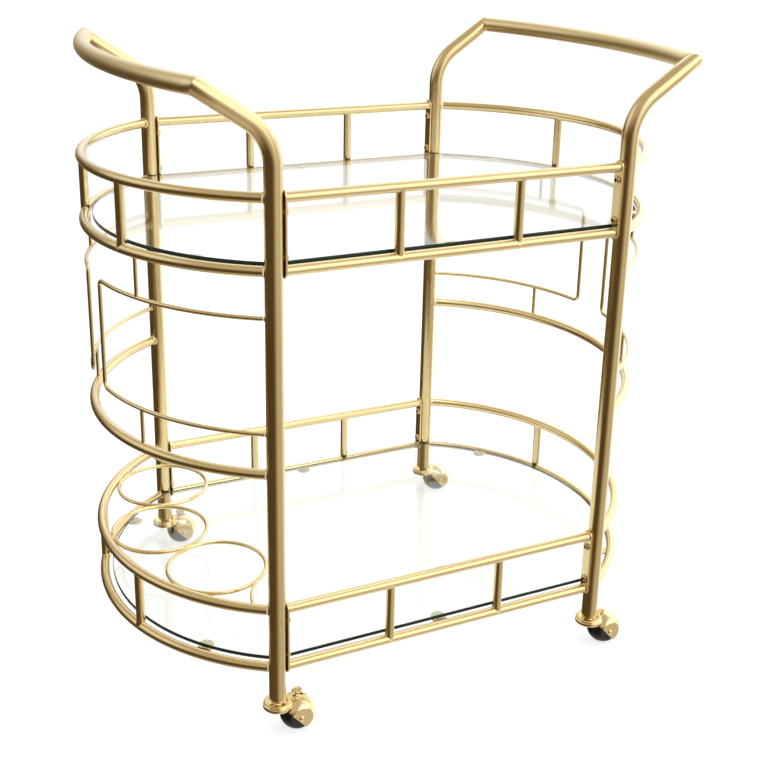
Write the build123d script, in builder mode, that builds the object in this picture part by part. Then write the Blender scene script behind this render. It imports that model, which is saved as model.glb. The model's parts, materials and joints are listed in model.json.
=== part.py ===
"""Two-tier bar cart: welded tube ends, bolted side panels, glass shelves and ball casters.

Millimetres. +X points to the end without bottle rings, +Y to the back, +Z up.
The origin is on the floor, midway between the four corner posts.
"""

import os
from math import asin, atan2, cos, hypot, radians, sin, sqrt, tan

from build123d import *

# ---------------------------------------------------------------- driving sizes
post_span_x = 480.0          # between post centres, along the cart
post_span_y = 516.0          # between post centres, across the cart
end_bulge = 150.0            # how far an end rail bows out past the post line

post_diameter = 22.0
post_wall = 1.2
rail_diameter = 13.0
rail_wall = 1.0
spindle_diameter = 12.0
wire_diameter = 5.5
stub_diameter = 5.0          # short uprights, and the rings' link wires

foot_clearance = 3.0         # underside of the posts, above the wheels
bottom_shelf_height = 95.0   # rail centres, above the floor
bottom_guard_height = 178.0
middle_rail_height = 365.0
top_shelf_height = 619.0
top_guard_height = 704.5
handle_height = 832.0
handle_reach = 86.5          # mitre corner, outward from the post
handle_bow = 42.0            # grip's middle, outward from its mitres
arm_angle = 34.0             # slanted arm above the horizontal
arm_bend_radius = 65.0

end_spindle_offset = 98.0    # either side of the middle of an end
side_spindle_offset = 82.0   # either side of the middle of a side panel

lower_wire_height = 417.5
upper_wire_height = 562.5
wire_loop_inset = 32.0       # closed end of a loop, from the middle of the cart's end
wire_stub_offset = 121.0
wire_corner_radius = 9.0

bracket_thickness = 2.5
bracket_width = 16.0
bracket_overhang = 9.0       # past the rail centres
bracket_gap = 0.3            # between bracket and post
bolt_inset = 16.5            # from the rail centres
bolt_diameter = 6.0
bolt_head_diameter = 10.5
bolt_head_height = 3.4
bolt_head_round = 2.2
bolt_socket = 4.5            # across flats
bolt_socket_depth = 2.4
bolt_reach = 5.0             # shank past the post's near surface

glass_thickness = 5.0
glass_gap = 4.5              # glass edge to rail
glass_post_gap = 2.0
glass_edge_round = 0.8
least_glass_corner = 25.0
lug_inset = 68.0             # lugs on the end arcs, from the post line
lug_width = 20.0
lug_length = 27.0            # from the rail's centre
lug_thickness = 2.0
lug_top = 1.6                # above the shelf rail's centre
pad_diameter = 12.0
pad_stem_diameter = 4.0
pad_thickness = 1.4

ring_diameter = 130.0        # bottle ring, wire centre
weld_bite = 0.5              # how deep a welded wire sits in what it touches
link_start_angle = 53.0      # where a link wire leaves its ring, from the X axis
link_end_inset = 15.0        # where it meets the guard rail, from the post line
link_bulge = 6.0

wheel_radius = 22.5
wheel_half_width = 17.0
wheel_split = 4.4            # gap between the wheel's two halves
hub_diameter = 11.0
axle_diameter = 5.0
axle_clearance = 0.05
hood_clearance = 0.5
hood_wall = 1.3
hood_below_axle = 5.0
hood_tilt = 49.0             # hood's rim, down from the horizontal
cheek_wall = 1.6
cheek_gap = 0.7
collar_diameter = 39.0
collar_top_diameter = 35.5
collar_drop = 2.0            # top of the collar, below the posts
collar_step_drop = 5.4
collar_bottom_drop = 10.0
cup_diameter = 25.0
cup_floor_drop = 6.0
cup_wall = 1.1               # between the cup and the wheel's cavity
stem_diameter = 8.0
stem_clearance = 0.05
stem_head_diameter = 11.0
stem_head_height = 1.2
stem_head_gap = 0.4
stem_end_play = 0.35
stem_engagement = 14.0
insert_length = 16.0
nut_across_flats = 13.0
rivet_diameter = 8.0
rivet_height = 1.3
rivet_round = 1.0

lever_thickness = 2.6
lever_side_gap = 0.4
lever_pivot_lift = 2.2       # above the hood's crown
lever_pivot_diameter = 2.4
lever_pivot_clearance = 0.05
lever_hub_radius = 2.2
lever_ear_width = 1.6
lever_ear_radius = 2.5
lever_slot_back = 5.0
lever_slot_front = 9.0
lever_tab_width = 14.0
lever_tab_height = 11.0
lever_tab_top = 9.5          # above the pivot
shoe_forward = 11.5          # brake shoe from the wheel's centre
shoe_rise = 4.0
shoe_radius = 2.0

# ---------------------------------------------------------------- derived places
foot_height = 2 * wheel_radius + foot_clearance
half_x = post_span_x / 2
half_y = post_span_y / 2
post_radius = post_diameter / 2
rail_radius = rail_diameter / 2
wire_radius = wire_diameter / 2
end_radius = (half_y**2 + end_bulge**2) / (2 * end_bulge)
end_centre = half_x + end_bulge - end_radius      # centre of an end's arc, along X
bracket_inner = half_x - post_radius - bracket_gap - bracket_thickness
tiers = {
    "top": (top_shelf_height, top_guard_height),
    "bottom": (bottom_shelf_height, bottom_guard_height),
}
bolt_heights = [
    height
    for shelf, guard in tiers.values()
    for height in (shelf + bolt_inset, guard - bolt_inset)
]
ends = {"left": -1, "right": 1}
sides = {"front": -1, "back": 1}
corners = [(f"{side}_{end}", ends[end], sides[side]) for end in ends for side in sides]
post_places = [(sx * half_x, sy * half_y) for _, sx, sy in corners]

end_rails = {
    "top_guard": top_guard_height,
    "top_shelf": top_shelf_height,
    "middle": middle_rail_height,
    "bottom_guard": bottom_guard_height,
    "bottom_shelf": bottom_shelf_height,
}

round_up = (Align.CENTER, Align.CENTER, Align.MIN)
round_down = (Align.CENTER, Align.CENTER, Align.MAX)

os.makedirs("parts", exist_ok=True)


def save(part, name):
    """Labels a finished piece and writes its STEP file."""
    part.label = name
    export_step(part, f"parts/{name}.step")


def on_end_arc(y, sign):
    """The point of an end's arc at y."""
    return sign * (end_centre + end_radius * cos(asin(y / end_radius))), y


def end_arc(sign, height, from_y=-half_y, to_y=half_y):
    """The arc that an end's rails and wires follow, inside a line's context."""
    middle_angle = (asin(from_y / end_radius) + asin(to_y / end_radius)) / 2
    points = [
        (*on_end_arc(y, sign), height)
        for y in (from_y, end_radius * sin(middle_angle), to_y)
    ]
    return ThreePointArc(*points)


# Solid bars with the rails' outer shape, taken away from whatever butts against a rail.
end_bars = {}
for end, sx in ends.items():
    for level, height in end_rails.items():
        with BuildPart() as end_bar:
            with BuildLine() as bar_line:
                end_arc(sx, height)
            with BuildSketch(Plane(origin=bar_line.line @ 0, z_dir=bar_line.line % 0)):
                Circle(rail_radius)
            sweep()
        end_bars[end, level] = end_bar.part

side_bars = {}
for level in ("top_guard", "top_shelf", "bottom_guard", "bottom_shelf"):
    with BuildPart() as side_bar:
        with BuildSketch(Plane.YZ.offset(-bracket_inner)):
            with Locations(*[(sy * half_y, end_rails[level]) for sy in sides.values()]):
                Circle(rail_radius)
        extrude(amount=2 * bracket_inner)
    side_bars[level] = side_bar.part

with BuildPart() as post_bars:
    with BuildSketch(Plane.XY.offset(foot_height)):
        with Locations(*post_places):
            Circle(post_radius)
    extrude(amount=top_guard_height)

# ---------------------------------------------------------------- posts and handles
turn = radians(90 - arm_angle)
arm_tilt = radians(arm_angle)
bend_reach = arm_bend_radius * (1 - cos(turn))
bend_rise = arm_bend_radius * sin(turn)
arm_rise = (handle_reach - bend_reach) * tan(arm_tilt)
bend_start = handle_height - arm_rise - bend_rise
bow_radius = (half_y**2 + handle_bow**2) / (2 * handle_bow)
bow_angle = asin(half_y / bow_radius)
mitre_x = half_x + handle_reach
mitre_spare = post_diameter          # arm and grip run this far past the mitre, then are cut


def mitre_plane(sx, sy):
    """The plane in which an arm and a grip meet, facing the grip."""
    along_arm = Vector(sx * cos(arm_tilt), 0, sin(arm_tilt))
    along_grip = Vector(sx * sin(bow_angle), -sy * cos(bow_angle), 0)
    return Plane((sx * mitre_x, sy * half_y, handle_height), z_dir=along_arm + along_grip)


inserts = []
for corner, sx, sy in corners:
    x, y = sx * half_x, sy * half_y
    bend_middle = arm_bend_radius * (1 - cos(turn / 2)), arm_bend_radius * sin(turn / 2)
    bend_end = (x + sx * bend_reach, y, bend_start + bend_rise)
    arm_end = (
        sx * (mitre_x + mitre_spare * cos(arm_tilt)),
        y,
        handle_height + mitre_spare * sin(arm_tilt),
    )
    with BuildPart() as post:
        with BuildLine() as post_line:
            Line((x, y, foot_height), (x, y, bend_start))
            ThreePointArc(
                (x, y, bend_start),
                (x + sx * bend_middle[0], y, bend_start + bend_middle[1]),
                bend_end,
            )
            Line(bend_end, arm_end)
        with BuildSketch(Plane.XY.offset(foot_height)):
            with Locations((x, y)):
                Circle(post_radius)
                Circle(post_radius - post_wall, mode=Mode.SUBTRACT)
        sweep()
        split(bisect_by=mitre_plane(sx, sy), keep=Keep.BOTTOM)
        with Locations(*[(x - sx * post_radius, y, height) for height in bolt_heights]):
            Cylinder(bolt_diameter / 2, post_radius, rotation=(0, 90, 0), mode=Mode.SUBTRACT)
    save(post.part, f"{corner}_post")

    with BuildPart() as insert:
        with BuildSketch(Plane.XY.offset(foot_height)):
            with Locations((x, y)):
                Circle(post_radius - post_wall)
                Circle(stem_diameter / 2, mode=Mode.SUBTRACT)
        extrude(amount=insert_length)
    inserts.append(insert.part)

for end, sx in ends.items():
    bow_centre = mitre_x + handle_bow - bow_radius
    spare_angle = bow_angle + mitre_spare / bow_radius
    grip_points = [
        (sx * (bow_centre + bow_radius * cos(a)), bow_radius * sin(a), handle_height)
        for a in (-spare_angle, 0, spare_angle)
    ]
    with BuildPart() as grip:
        with BuildLine() as grip_line:
            ThreePointArc(*grip_points)
        with BuildSketch(Plane(origin=grip_line.line @ 0, z_dir=grip_line.line % 0)):
            Circle(post_radius)
            Circle(post_radius - post_wall, mode=Mode.SUBTRACT)
        sweep()
        for sy in sides.values():
            split(bisect_by=mitre_plane(sx, sy), keep=Keep.TOP)
    save(grip.part, f"{end}_handle_grip")

with BuildPart() as foot_inserts:
    for piece in inserts:
        add(piece)
save(foot_inserts.part, "foot_inserts")

# ---------------------------------------------------------------- rails and spindles of the ends
for end, sx in ends.items():
    for level, height in end_rails.items():
        with BuildPart() as end_rail:
            with BuildLine() as rail_line:
                end_arc(sx, height)
            with BuildSketch(Plane(origin=rail_line.line @ 0, z_dir=rail_line.line % 0)):
                Circle(rail_radius)
                Circle(rail_radius - rail_wall, mode=Mode.SUBTRACT)
            sweep()
            add(post_bars.part, mode=Mode.SUBTRACT)
        save(end_rail.part, f"{end}_{level}_rail")

    with BuildPart() as end_spindles:
        for shelf, guard in tiers.values():
            with BuildSketch(Plane.XY.offset(shelf)):
                spots = [on_end_arc(y, sx) for y in (-end_spindle_offset, end_spindle_offset)]
                with Locations(*spots):
                    Circle(spindle_diameter / 2)
                    Circle(spindle_diameter / 2 - rail_wall, mode=Mode.SUBTRACT)
            extrude(amount=guard - shelf)
        for level in side_bars:
            add(end_bars[end, level], mode=Mode.SUBTRACT)
    save(end_spindles.part, f"{end}_end_spindles")

# ---------------------------------------------------------------- wire loops of the ends
loop_turn_y = wire_loop_inset + wire_corner_radius
for end, sx in ends.items():
    for side, sy in sides.items():
        turn_angle = asin(loop_turn_y / end_radius)
        ahead = Vector(sx * sin(turn_angle), -sy * cos(turn_angle), 0)
        arc_end = Vector(*on_end_arc(sy * loop_turn_y, sx))
        upright = arc_end + ahead * wire_corner_radius
        eased = arc_end + ahead * (wire_corner_radius * sin(radians(45)))
        ease_rise = wire_corner_radius * (1 - cos(radians(45)))
        low, high = lower_wire_height, upper_wire_height
        with BuildPart() as wire_loop:
            with BuildLine() as loop_line:
                end_arc(sx, low, sy * half_y, sy * loop_turn_y)
                ThreePointArc(
                    (arc_end.X, arc_end.Y, low),
                    (eased.X, eased.Y, low + ease_rise),
                    (upright.X, upright.Y, low + wire_corner_radius),
                )
                Line(
                    (upright.X, upright.Y, low + wire_corner_radius),
                    (upright.X, upright.Y, high - wire_corner_radius),
                )
                ThreePointArc(
                    (upright.X, upright.Y, high - wire_corner_radius),
                    (eased.X, eased.Y, high - ease_rise),
                    (arc_end.X, arc_end.Y, high),
                )
                end_arc(sx, high, sy * loop_turn_y, sy * half_y)
            with BuildSketch(Plane(origin=loop_line.line @ 0, z_dir=loop_line.line % 0)):
                Circle(wire_radius)
            sweep()
            for start, stop in ((middle_rail_height, low), (high, top_shelf_height)):
                with BuildSketch(Plane.XY.offset(start)):
                    with Locations(on_end_arc(sy * wire_stub_offset, sx)):
                        Circle(stub_diameter / 2)
                extrude(amount=stop - start)
            for bar in (post_bars.part, end_bars[end, "middle"], end_bars[end, "top_shelf"]):
                add(bar, mode=Mode.SUBTRACT)
        save(wire_loop.part, f"{end}_{side}_wire_loop")

# ---------------------------------------------------------------- bolted side panels
for side, sy in sides.items():
    for tier, (shelf, guard) in tiers.items():
        for level, height in (("shelf", shelf), ("guard", guard)):
            with BuildPart() as side_rail:
                with BuildSketch(Plane.YZ.offset(-bracket_inner)):
                    with Locations((sy * half_y, height)):
                        Circle(rail_radius)
                        Circle(rail_radius - rail_wall, mode=Mode.SUBTRACT)
                extrude(amount=2 * bracket_inner)
            save(side_rail.part, f"{side}_{tier}_{level}_rail")

with BuildPart() as panel_spindles:
    for shelf, guard in tiers.values():
        with BuildSketch(Plane.XY.offset(shelf)):
            spots = [
                (sx * side_spindle_offset, sy * half_y)
                for sx in ends.values()
                for sy in sides.values()
            ]
            with Locations(*spots):
                Circle(spindle_diameter / 2)
                Circle(spindle_diameter / 2 - rail_wall, mode=Mode.SUBTRACT)
        extrude(amount=guard - shelf)
    for bar in side_bars.values():
        add(bar, mode=Mode.SUBTRACT)
save(panel_spindles.part, "panel_spindles")

with BuildPart() as panel_brackets:
    for start in (bracket_inner, -bracket_inner - bracket_thickness):
        for shelf, guard in tiers.values():
            with BuildSketch(Plane.YZ.offset(start)):
                with Locations(*[(sy * half_y, (shelf + guard) / 2) for sy in sides.values()]):
                    SlotOverall(
                        guard - shelf + 2 * bracket_overhang, bracket_width, rotation=90
                    )
                bolt_spots = [
                    (sy * half_y, height)
                    for sy in sides.values()
                    for height in (shelf + bolt_inset, guard - bolt_inset)
                ]
                with Locations(*bolt_spots):
                    Circle(bolt_diameter / 2, mode=Mode.SUBTRACT)
            extrude(amount=bracket_thickness)
save(panel_brackets.part, "panel_brackets")

bolt_length = bracket_thickness + bracket_gap + bolt_reach
with BuildPart() as bolt:
    # the shank points along +Z, and the head's seat is at the origin
    Cylinder(bolt_diameter / 2, bolt_length, align=round_up)
    Cylinder(bolt_head_diameter / 2, bolt_head_height, align=round_down)
    fillet(bolt.edges().group_by(Axis.Z)[0], bolt_head_round)
    with BuildSketch(Plane.XY.offset(-bolt_head_height)):
        RegularPolygon(bolt_socket / 2, 6, major_radius=False)
    extrude(amount=bolt_socket_depth, mode=Mode.SUBTRACT)

with BuildPart() as panel_bolts:
    for sx, sy in [(sx, sy) for _, sx, sy in corners]:
        for height in bolt_heights:
            seat = Plane((sx * bracket_inner, sy * half_y, height), z_dir=(sx, 0, 0))
            with Locations(seat.location):
                add(bolt.part)
save(panel_bolts.part, "panel_bolts")

# ---------------------------------------------------------------- glass shelves on their lugs
glass_half_y = half_y - rail_radius - glass_gap
glass_radius = end_radius - rail_radius - glass_gap
glass_corner_x = end_centre + sqrt(glass_radius**2 - glass_half_y**2)
corner_turn = radians(90) - atan2(glass_half_y, glass_corner_x - end_centre)
corner_room = hypot(half_x - glass_corner_x, half_y - glass_half_y)
corner_cut = post_radius + glass_post_gap - corner_room
glass_corner_radius = max(least_glass_corner, corner_cut / (1 / cos(corner_turn / 2) - 1))
lug_end_radius = lug_width / 2
lug_reach = lug_length - lug_end_radius
lug_offset = half_y - lug_inset
pads = []

for tier, (shelf, guard) in tiers.items():
    with BuildPart() as glass:
        with BuildSketch(Plane.XY.offset(shelf + lug_top + pad_thickness)) as glass_outline:
            with BuildLine():
                for sign in (1, -1):
                    Line(
                        (-sign * glass_corner_x, -sign * glass_half_y),
                        (sign * glass_corner_x, -sign * glass_half_y),
                    )
                    ThreePointArc(
                        (sign * glass_corner_x, -sign * glass_half_y),
                        (sign * (end_centre + glass_radius), 0),
                        (sign * glass_corner_x, sign * glass_half_y),
                    )
            make_face()
            fillet(glass_outline.vertices(), glass_corner_radius)
        extrude(amount=glass_thickness)
        top_and_bottom = glass.faces().filter_by(Axis.Z).edges()
        chamfer(top_and_bottom, glass_edge_round)
    save(glass.part, f"{tier}_glass_shelf")

    # each lug's plane starts at its rail's centre, with local +X pointing inward
    lug_planes = [
        Plane((0, sy * half_y, shelf), x_dir=(0, -sy, 0), z_dir=(0, 0, 1))
        for sy in sides.values()
    ]
    for sx in ends.values():
        for sy in sides.values():
            spot_x, spot_y = on_end_arc(sy * lug_offset, sx)
            inward = (sx * end_centre - spot_x, -spot_y, 0)
            lug_planes.append(Plane((spot_x, spot_y, shelf), x_dir=inward, z_dir=(0, 0, 1)))
    with BuildPart() as lugs:
        for lug_plane in lug_planes:
            with BuildSketch(lug_plane.offset(lug_top)):
                with Locations((lug_reach / 2, 0)):
                    Rectangle(lug_reach, lug_width)
                with Locations((lug_reach, 0)):
                    Circle(lug_end_radius)
                    Circle(pad_stem_diameter / 2, mode=Mode.SUBTRACT)
            extrude(amount=-lug_thickness)
        add(side_bars[f"{tier}_shelf"], mode=Mode.SUBTRACT)
        for end in ends:
            add(end_bars[end, f"{tier}_shelf"], mode=Mode.SUBTRACT)
    save(lugs.part, f"{tier}_glass_lugs")

    for lug_plane in lug_planes:
        with BuildPart() as pad:
            with BuildSketch(lug_plane.offset(lug_top)):
                with Locations((lug_reach, 0)):
                    Circle(pad_diameter / 2)
            extrude(amount=pad_thickness)
            with BuildSketch(lug_plane.offset(lug_top)):
                with Locations((lug_reach, 0)):
                    Circle(pad_stem_diameter / 2)
            extrude(amount=-lug_thickness)
        pads.append(pad.part)

with BuildPart() as glass_pads:
    for pad_part in pads:
        add(pad_part)
save(glass_pads.part, "glass_pads")

# ---------------------------------------------------------------- bottle rings
ring_radius = ring_diameter / 2
ring_circle = end_radius - rail_radius - ring_radius - wire_radius + weld_bite
ring_spacing = ring_diameter + wire_diameter - weld_bite
ring_step = 2 * asin(ring_spacing / 2 / ring_circle)
ring_places = {
    side: (-end_centre - ring_circle * cos(step), ring_circle * sin(step))
    for side, step in (("front", -ring_step), ("middle", 0), ("back", ring_step))
}
for side, (x, y) in ring_places.items():
    with BuildPart() as bottle_ring:
        with Locations((x, y, bottom_guard_height)):
            Torus(ring_radius, wire_radius)
        add(end_bars["left", "bottom_guard"], mode=Mode.SUBTRACT)
        if side != "middle":
            with Locations((*ring_places["middle"], bottom_guard_height)):
                Torus(ring_radius, wire_radius, mode=Mode.SUBTRACT)
    save(bottle_ring.part, f"{side}_bottle_ring")

link_end_offset = half_y - link_end_inset
with BuildPart() as ring_links:
    for side, sy in sides.items():
        x, y = ring_places[side]
        leave = radians(link_start_angle)
        start = Vector(x + ring_radius * cos(leave), y + sy * ring_radius * sin(leave))
        stop = Vector(*on_end_arc(sy * link_end_offset, -1))
        across = (stop - start).normalized()
        outward = Vector(across.Y, -across.X) * -sy
        middle = (start + stop) / 2 + outward * link_bulge
        level = bottom_guard_height
        with BuildLine() as link_line:
            ThreePointArc(
                (start.X, start.Y, level), (middle.X, middle.Y, level), (stop.X, stop.Y, level)
            )
        with BuildSketch(Plane(origin=link_line.line @ 0, z_dir=link_line.line % 0)):
            Circle(stub_diameter / 2)
        sweep()
    add(end_bars["left", "bottom_guard"], mode=Mode.SUBTRACT)
    with Locations(*[(*ring_places[side], bottom_guard_height) for side in sides]):
        Torus(ring_radius, wire_radius, mode=Mode.SUBTRACT)
save(ring_links.part, "bottle_ring_links")

# ---------------------------------------------------------------- casters
# Each piece is made for a stem on the Z axis, trailing along +X, and then moved to its post.
collar_top = foot_height - collar_drop
collar_step = foot_height - collar_step_drop
collar_bottom = foot_height - collar_bottom_drop
cup_floor = foot_height - cup_floor_drop
ball_radius = hypot(wheel_radius, wheel_split / 2)     # so the two rims are a wheel radius out
cavity_radius = ball_radius + hood_clearance
hood_radius = cavity_radius + hood_wall
cavity_reach = sqrt(cavity_radius**2 - (cup_floor - wheel_radius) ** 2)
trail = cup_diameter / 2 + cup_wall + cavity_reach     # stem axis to wheel centre
wheel_centre = (trail, 0, wheel_radius)
cheek_inner = wheel_half_width + cheek_gap
cheek_outer = cheek_inner + cheek_wall
rim_normal = Vector(sin(radians(hood_tilt)), 0, cos(radians(hood_tilt)))
rim_plane = Plane(Vector(*wheel_centre) - rim_normal * hood_below_axle, z_dir=rim_normal)
crown_height = wheel_radius + hood_radius
lever_pivot = (trail, crown_height + lever_pivot_lift)
slot_half = lever_thickness / 2 + lever_side_gap
lever_half_width = slot_half + lever_ear_width
across_hood = 2 * hood_radius                          # cuts this long pass through a hood

with BuildPart() as ball_wheel:
    with Locations(wheel_centre):
        Sphere(ball_radius)
        Box(2 * ball_radius, 2 * wheel_half_width, 2 * ball_radius, mode=Mode.INTERSECT)
    with BuildSketch(Plane.XZ.offset(-wheel_split / 2)):
        with Locations((trail, wheel_radius)):
            Circle(hood_radius)
            Circle(hub_diameter / 2, mode=Mode.SUBTRACT)
    extrude(amount=wheel_split, mode=Mode.SUBTRACT)
    with Locations(wheel_centre):
        Cylinder(
            axle_diameter / 2 + axle_clearance,
            2 * wheel_half_width,
            rotation=(90, 0, 0),
            mode=Mode.SUBTRACT,
        )

with BuildPart() as axle:
    with Locations(wheel_centre):
        Cylinder(axle_diameter / 2, 2 * cheek_outer, rotation=(90, 0, 0))
    for face_plane in (Plane.XZ.offset(cheek_outer), Plane.XZ.offset(-cheek_outer)):
        with BuildSketch(face_plane):
            with Locations((trail, wheel_radius)):
                Circle(rivet_diameter / 2)
        outward_height = rivet_height if face_plane.origin.Y < 0 else -rivet_height
        extrude(amount=outward_height)
    rims = axle.edges().filter_by(GeomType.CIRCLE).group_by(Axis.Y)
    fillet([rims[0][0], rims[-1][0]], rivet_round)

with BuildPart() as wheel_room:
    with Locations(wheel_centre):
        Sphere(cavity_radius)
        Box(2 * cavity_radius, 2 * cheek_inner, 2 * cavity_radius, mode=Mode.INTERSECT)
    with Locations((0, 0, collar_bottom - stem_end_play)):
        Cylinder(
            stem_head_diameter / 2 + stem_head_gap,
            stem_head_height + stem_head_gap,
            align=round_down,
        )


def build_hood(braked):
    """A hood with its collar. A braked one has a slot and two ears for its lever."""
    with BuildPart() as hood:
        with Locations(wheel_centre):
            Sphere(hood_radius)
            Box(2 * hood_radius, 2 * cheek_outer, 2 * hood_radius, mode=Mode.INTERSECT)
        split(bisect_by=rim_plane, keep=Keep.TOP)
        with Locations((0, 0, collar_bottom)):
            Cylinder(collar_diameter / 2, collar_step - collar_bottom, align=round_up)
            Cylinder(collar_top_diameter / 2, collar_top - collar_bottom, align=round_up)
        if braked:
            for ear_start in (slot_half, -lever_half_width):
                with BuildSketch(Plane.XZ.offset(ear_start)):
                    with Locations(lever_pivot):
                        Circle(lever_ear_radius)
                    with Locations((lever_pivot[0], lever_pivot[1] - lever_ear_radius)):
                        Rectangle(2 * lever_ear_radius, 2 * lever_ear_radius)
                extrude(amount=lever_ear_width)
            with Locations((lever_pivot[0], 0, lever_pivot[1])):
                Cylinder(
                    lever_pivot_diameter / 2 + lever_pivot_clearance,
                    across_hood,
                    rotation=(90, 0, 0),
                    mode=Mode.SUBTRACT,
                )
        add(wheel_room.part, mode=Mode.SUBTRACT)
        with Locations(wheel_centre):
            Cylinder(axle_diameter / 2, across_hood, rotation=(90, 0, 0), mode=Mode.SUBTRACT)
        with Locations((0, 0, cup_floor)):
            Cylinder(cup_diameter / 2, foot_height, align=round_up, mode=Mode.SUBTRACT)
        with Locations((0, 0, collar_bottom)):
            Cylinder(
                stem_diameter / 2 + stem_clearance,
                foot_height,
                mode=Mode.SUBTRACT,
            )
        if braked:
            slot_length = lever_slot_back + lever_slot_front
            slot_middle = trail + (lever_slot_front - lever_slot_back) / 2
            with Locations((slot_middle, 0, wheel_radius)):
                Box(slot_length, 2 * slot_half, across_hood, align=round_up, mode=Mode.SUBTRACT)
    return hood.part


with BuildPart() as brake_lever:
    shoe = (trail + shoe_forward, wheel_radius + shoe_rise)
    tab_middle = lever_pivot[1] + lever_tab_top - lever_tab_height / 2
    with BuildSketch(Plane.XZ.offset(-lever_thickness / 2)):
        with Locations(lever_pivot):
            Circle(lever_hub_radius)
        with Locations(shoe):
            Circle(shoe_radius)
        make_hull()
        with Locations((lever_pivot[0], tab_middle)):
            SlotOverall(lever_tab_width, lever_tab_height)
    extrude(amount=lever_thickness)
    with Locations((lever_pivot[0], 0, lever_pivot[1])):
        Cylinder(lever_pivot_diameter / 2, 2 * lever_half_width, rotation=(90, 0, 0))

with BuildPart() as stem:
    head_top = collar_bottom - stem_end_play
    with Locations((0, 0, head_top)):
        Cylinder(stem_head_diameter / 2, stem_head_height, align=round_down)
        Cylinder(stem_diameter / 2, foot_height + stem_engagement - head_top, align=round_up)

with BuildPart() as stem_nut:
    with BuildSketch(Plane.XY.offset(cup_floor + stem_end_play)):
        RegularPolygon(nut_across_flats / 2, 6, major_radius=False)
        Circle(stem_diameter / 2, mode=Mode.SUBTRACT)
    extrude(amount=foot_height - cup_floor - stem_end_play)

hoods = {True: build_hood(True), False: build_hood(False)}
for corner, sx, sy in corners:
    at_post = Location((sx * half_x, sy * half_y, 0))
    braked = sx < 0
    save(hoods[braked].moved(at_post), f"{corner}_caster_hood")
    save(ball_wheel.part.moved(at_post), f"{corner}_caster_wheel")
    save(axle.part.moved(at_post), f"{corner}_caster_axle")
    if braked:
        save(brake_lever.part.moved(at_post), f"{corner}_brake_lever")

with BuildPart() as caster_stems:
    with Locations(*post_places):
        add(stem.part)
save(caster_stems.part, "caster_stems")

with BuildPart() as stem_nuts:
    with Locations(*post_places):
        add(stem_nut.part)
save(stem_nuts.part, "stem_nuts")
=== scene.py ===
import json
import math

import bmesh
import bpy
import numpy as np
from mathutils import Matrix, Vector

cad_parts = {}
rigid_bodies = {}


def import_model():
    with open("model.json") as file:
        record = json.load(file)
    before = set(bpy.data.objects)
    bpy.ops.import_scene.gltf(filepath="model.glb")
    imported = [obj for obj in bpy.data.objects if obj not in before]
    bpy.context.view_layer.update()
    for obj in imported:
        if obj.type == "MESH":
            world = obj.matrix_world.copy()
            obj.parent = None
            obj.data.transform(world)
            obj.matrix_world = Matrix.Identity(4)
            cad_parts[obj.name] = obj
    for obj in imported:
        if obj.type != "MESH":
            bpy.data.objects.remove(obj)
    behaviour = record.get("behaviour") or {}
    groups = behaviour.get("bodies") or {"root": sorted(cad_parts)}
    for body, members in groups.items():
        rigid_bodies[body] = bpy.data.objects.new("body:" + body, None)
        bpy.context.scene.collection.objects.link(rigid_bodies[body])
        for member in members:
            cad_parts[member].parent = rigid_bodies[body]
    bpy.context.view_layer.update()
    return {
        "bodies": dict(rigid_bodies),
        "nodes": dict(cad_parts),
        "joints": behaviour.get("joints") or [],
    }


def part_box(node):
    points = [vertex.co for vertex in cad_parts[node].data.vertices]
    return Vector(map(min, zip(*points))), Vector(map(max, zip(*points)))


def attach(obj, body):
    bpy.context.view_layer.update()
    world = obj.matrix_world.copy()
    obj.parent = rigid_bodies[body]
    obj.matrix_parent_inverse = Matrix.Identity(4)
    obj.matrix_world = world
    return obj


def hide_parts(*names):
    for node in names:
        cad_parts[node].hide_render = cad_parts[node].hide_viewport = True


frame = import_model()
print("frame loaded with", len(frame["nodes"]), "nodes")

# everything is in metres; ends are left (-X) and right (+X), sides are front (-Y) and back (+Y)
ends = {"left": -1, "right": 1}
sides = {"front": -1, "back": 1}
corners = [(side + "_" + end, ends[end], sides[side]) for end in ends for side in sides]
joints = {joint["name"]: joint for joint in frame["joints"]}
up = np.array([0.0, 0.0, 1.0])


def boxOf(node):
    low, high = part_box(node)
    return np.array(low), np.array(high)


def centreOf(node):
    low, high = boxOf(node)
    return (low + high) / 2


# places that the frame gives
postX, postY = (abs(value) for value in joints["front_right_swivel"]["pos_m"][:2])
footZ = boxOf("front_right_post")[0][2]
levels = ("top_guard", "top_shelf", "middle", "bottom_guard", "bottom_shelf")
railZ = {level: centreOf("right_" + level + "_rail")[2] for level in levels}
tiers = {tier: (railZ[tier + "_shelf"], railZ[tier + "_guard"]) for tier in ("top", "bottom")}
railLow, railHigh = boxOf("right_middle_rail")
railRadius = (railHigh[2] - railLow[2]) / 2
endBulge = railHigh[0] - railRadius - postX
endRadius = (postY ** 2 + endBulge ** 2) / (2 * endBulge)
endCentre = postX + endBulge - endRadius
panelEnd = boxOf("front_top_guard_rail")[1][0]
wheelSpot = {name: np.array(joints[name + "_wheel_spin"]["pos_m"]) for name, _, _ in corners}
trail = wheelSpot["front_right"][0] - postX
axleZ = wheelSpot["front_right"][2]


# surfaces: grids of points, put together into one mesh

def unit(vector):
    return vector / np.linalg.norm(vector, axis=-1, keepdims=True)


def fullTurn(count):
    return np.linspace(0, 2 * np.pi, count, endpoint=False)


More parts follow.
